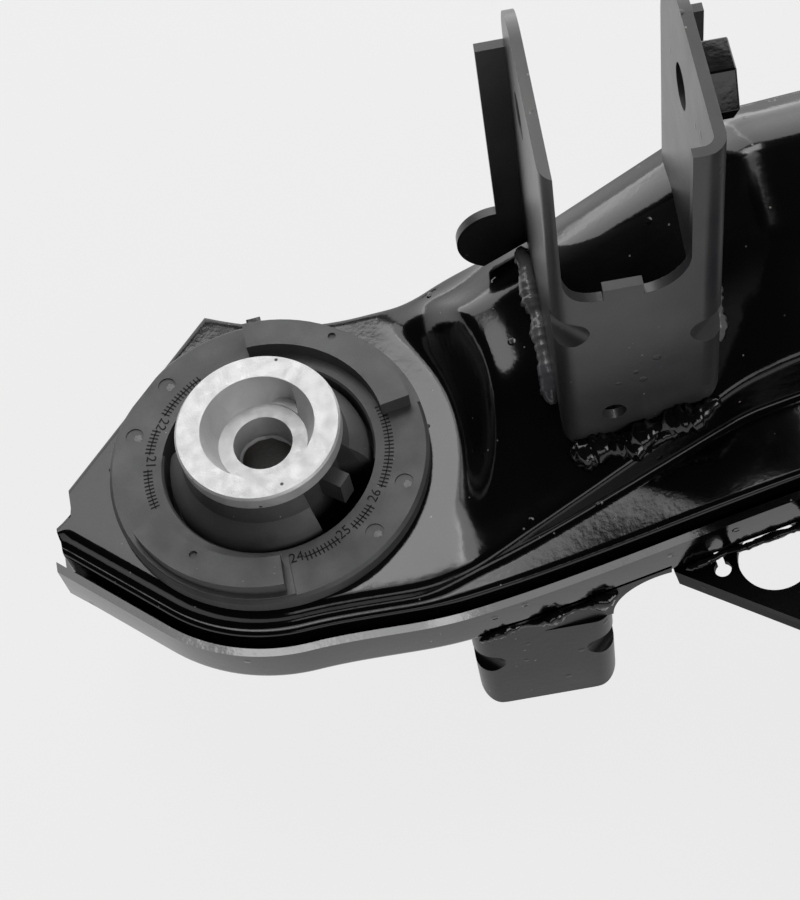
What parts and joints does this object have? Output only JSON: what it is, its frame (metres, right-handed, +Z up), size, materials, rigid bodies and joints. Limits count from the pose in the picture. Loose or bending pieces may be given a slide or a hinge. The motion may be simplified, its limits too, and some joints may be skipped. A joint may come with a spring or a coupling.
{
  "type": "axle subframe",
  "caption": "Welded axle subframe: arched pressed-steel side rails on rubber bushes, joined by cross-members, with upper link towers, lower link brackets and corner gussets.",
  "frame": {"origin": "on the floor under the middle of the frame, at the height of the lower brackets' feet", "axes": "+X from the left rail to the right rail, +Y from front to rear, +Z up"},
  "size_m": [0.929, 0.882, 0.215],
  "materials": {
    "paint": "gloss black paint over pressed steel, with weld beads and dust specks",
    "rubber": "satin dark grey moulded rubber",
    "alloy": "light blasted casting with a turned top"
  },
  "bodies": {
    "root": {"left_upper_shell": "paint", "right_upper_shell": "paint", "left_lower_shell": "paint", "right_lower_shell": "paint", "front_crossmember_upper": "paint", "front_crossmember_lower": "paint", "rear_crossmember_upper": "paint", "rear_crossmember_lower": "paint", "front_sleeves": "paint", "rear_sleeves": "paint", "front_left_bush_can": "paint", "front_right_bush_can": "paint", "rear_left_bush_can": "paint", "rear_right_bush_can": "paint", "front_left_bush_rubber": "rubber", "front_right_bush_rubber": "rubber", "rear_left_bush_rubber": "rubber", "rear_right_bush_rubber": "rubber", "front_left_bush_core": "alloy", "front_right_bush_core": "alloy", "rear_left_bush_core": "alloy", "rear_right_bush_core": "alloy", "front_left_link_tower": "paint", "front_right_link_tower": "paint", "rear_left_link_tower": "paint", "rear_right_link_tower": "paint", "front_left_link_bracket": "paint", "front_right_link_bracket": "paint", "rear_left_link_bracket": "paint", "rear_right_link_bracket": "paint", "front_left_gusset": "paint", "front_right_gusset": "paint", "rear_left_gusset": "paint", "rear_right_gusset": "paint", "tower_weld_nuts": "paint", "bracket_weld_nuts": "paint"}
  },
  "joints": []
}
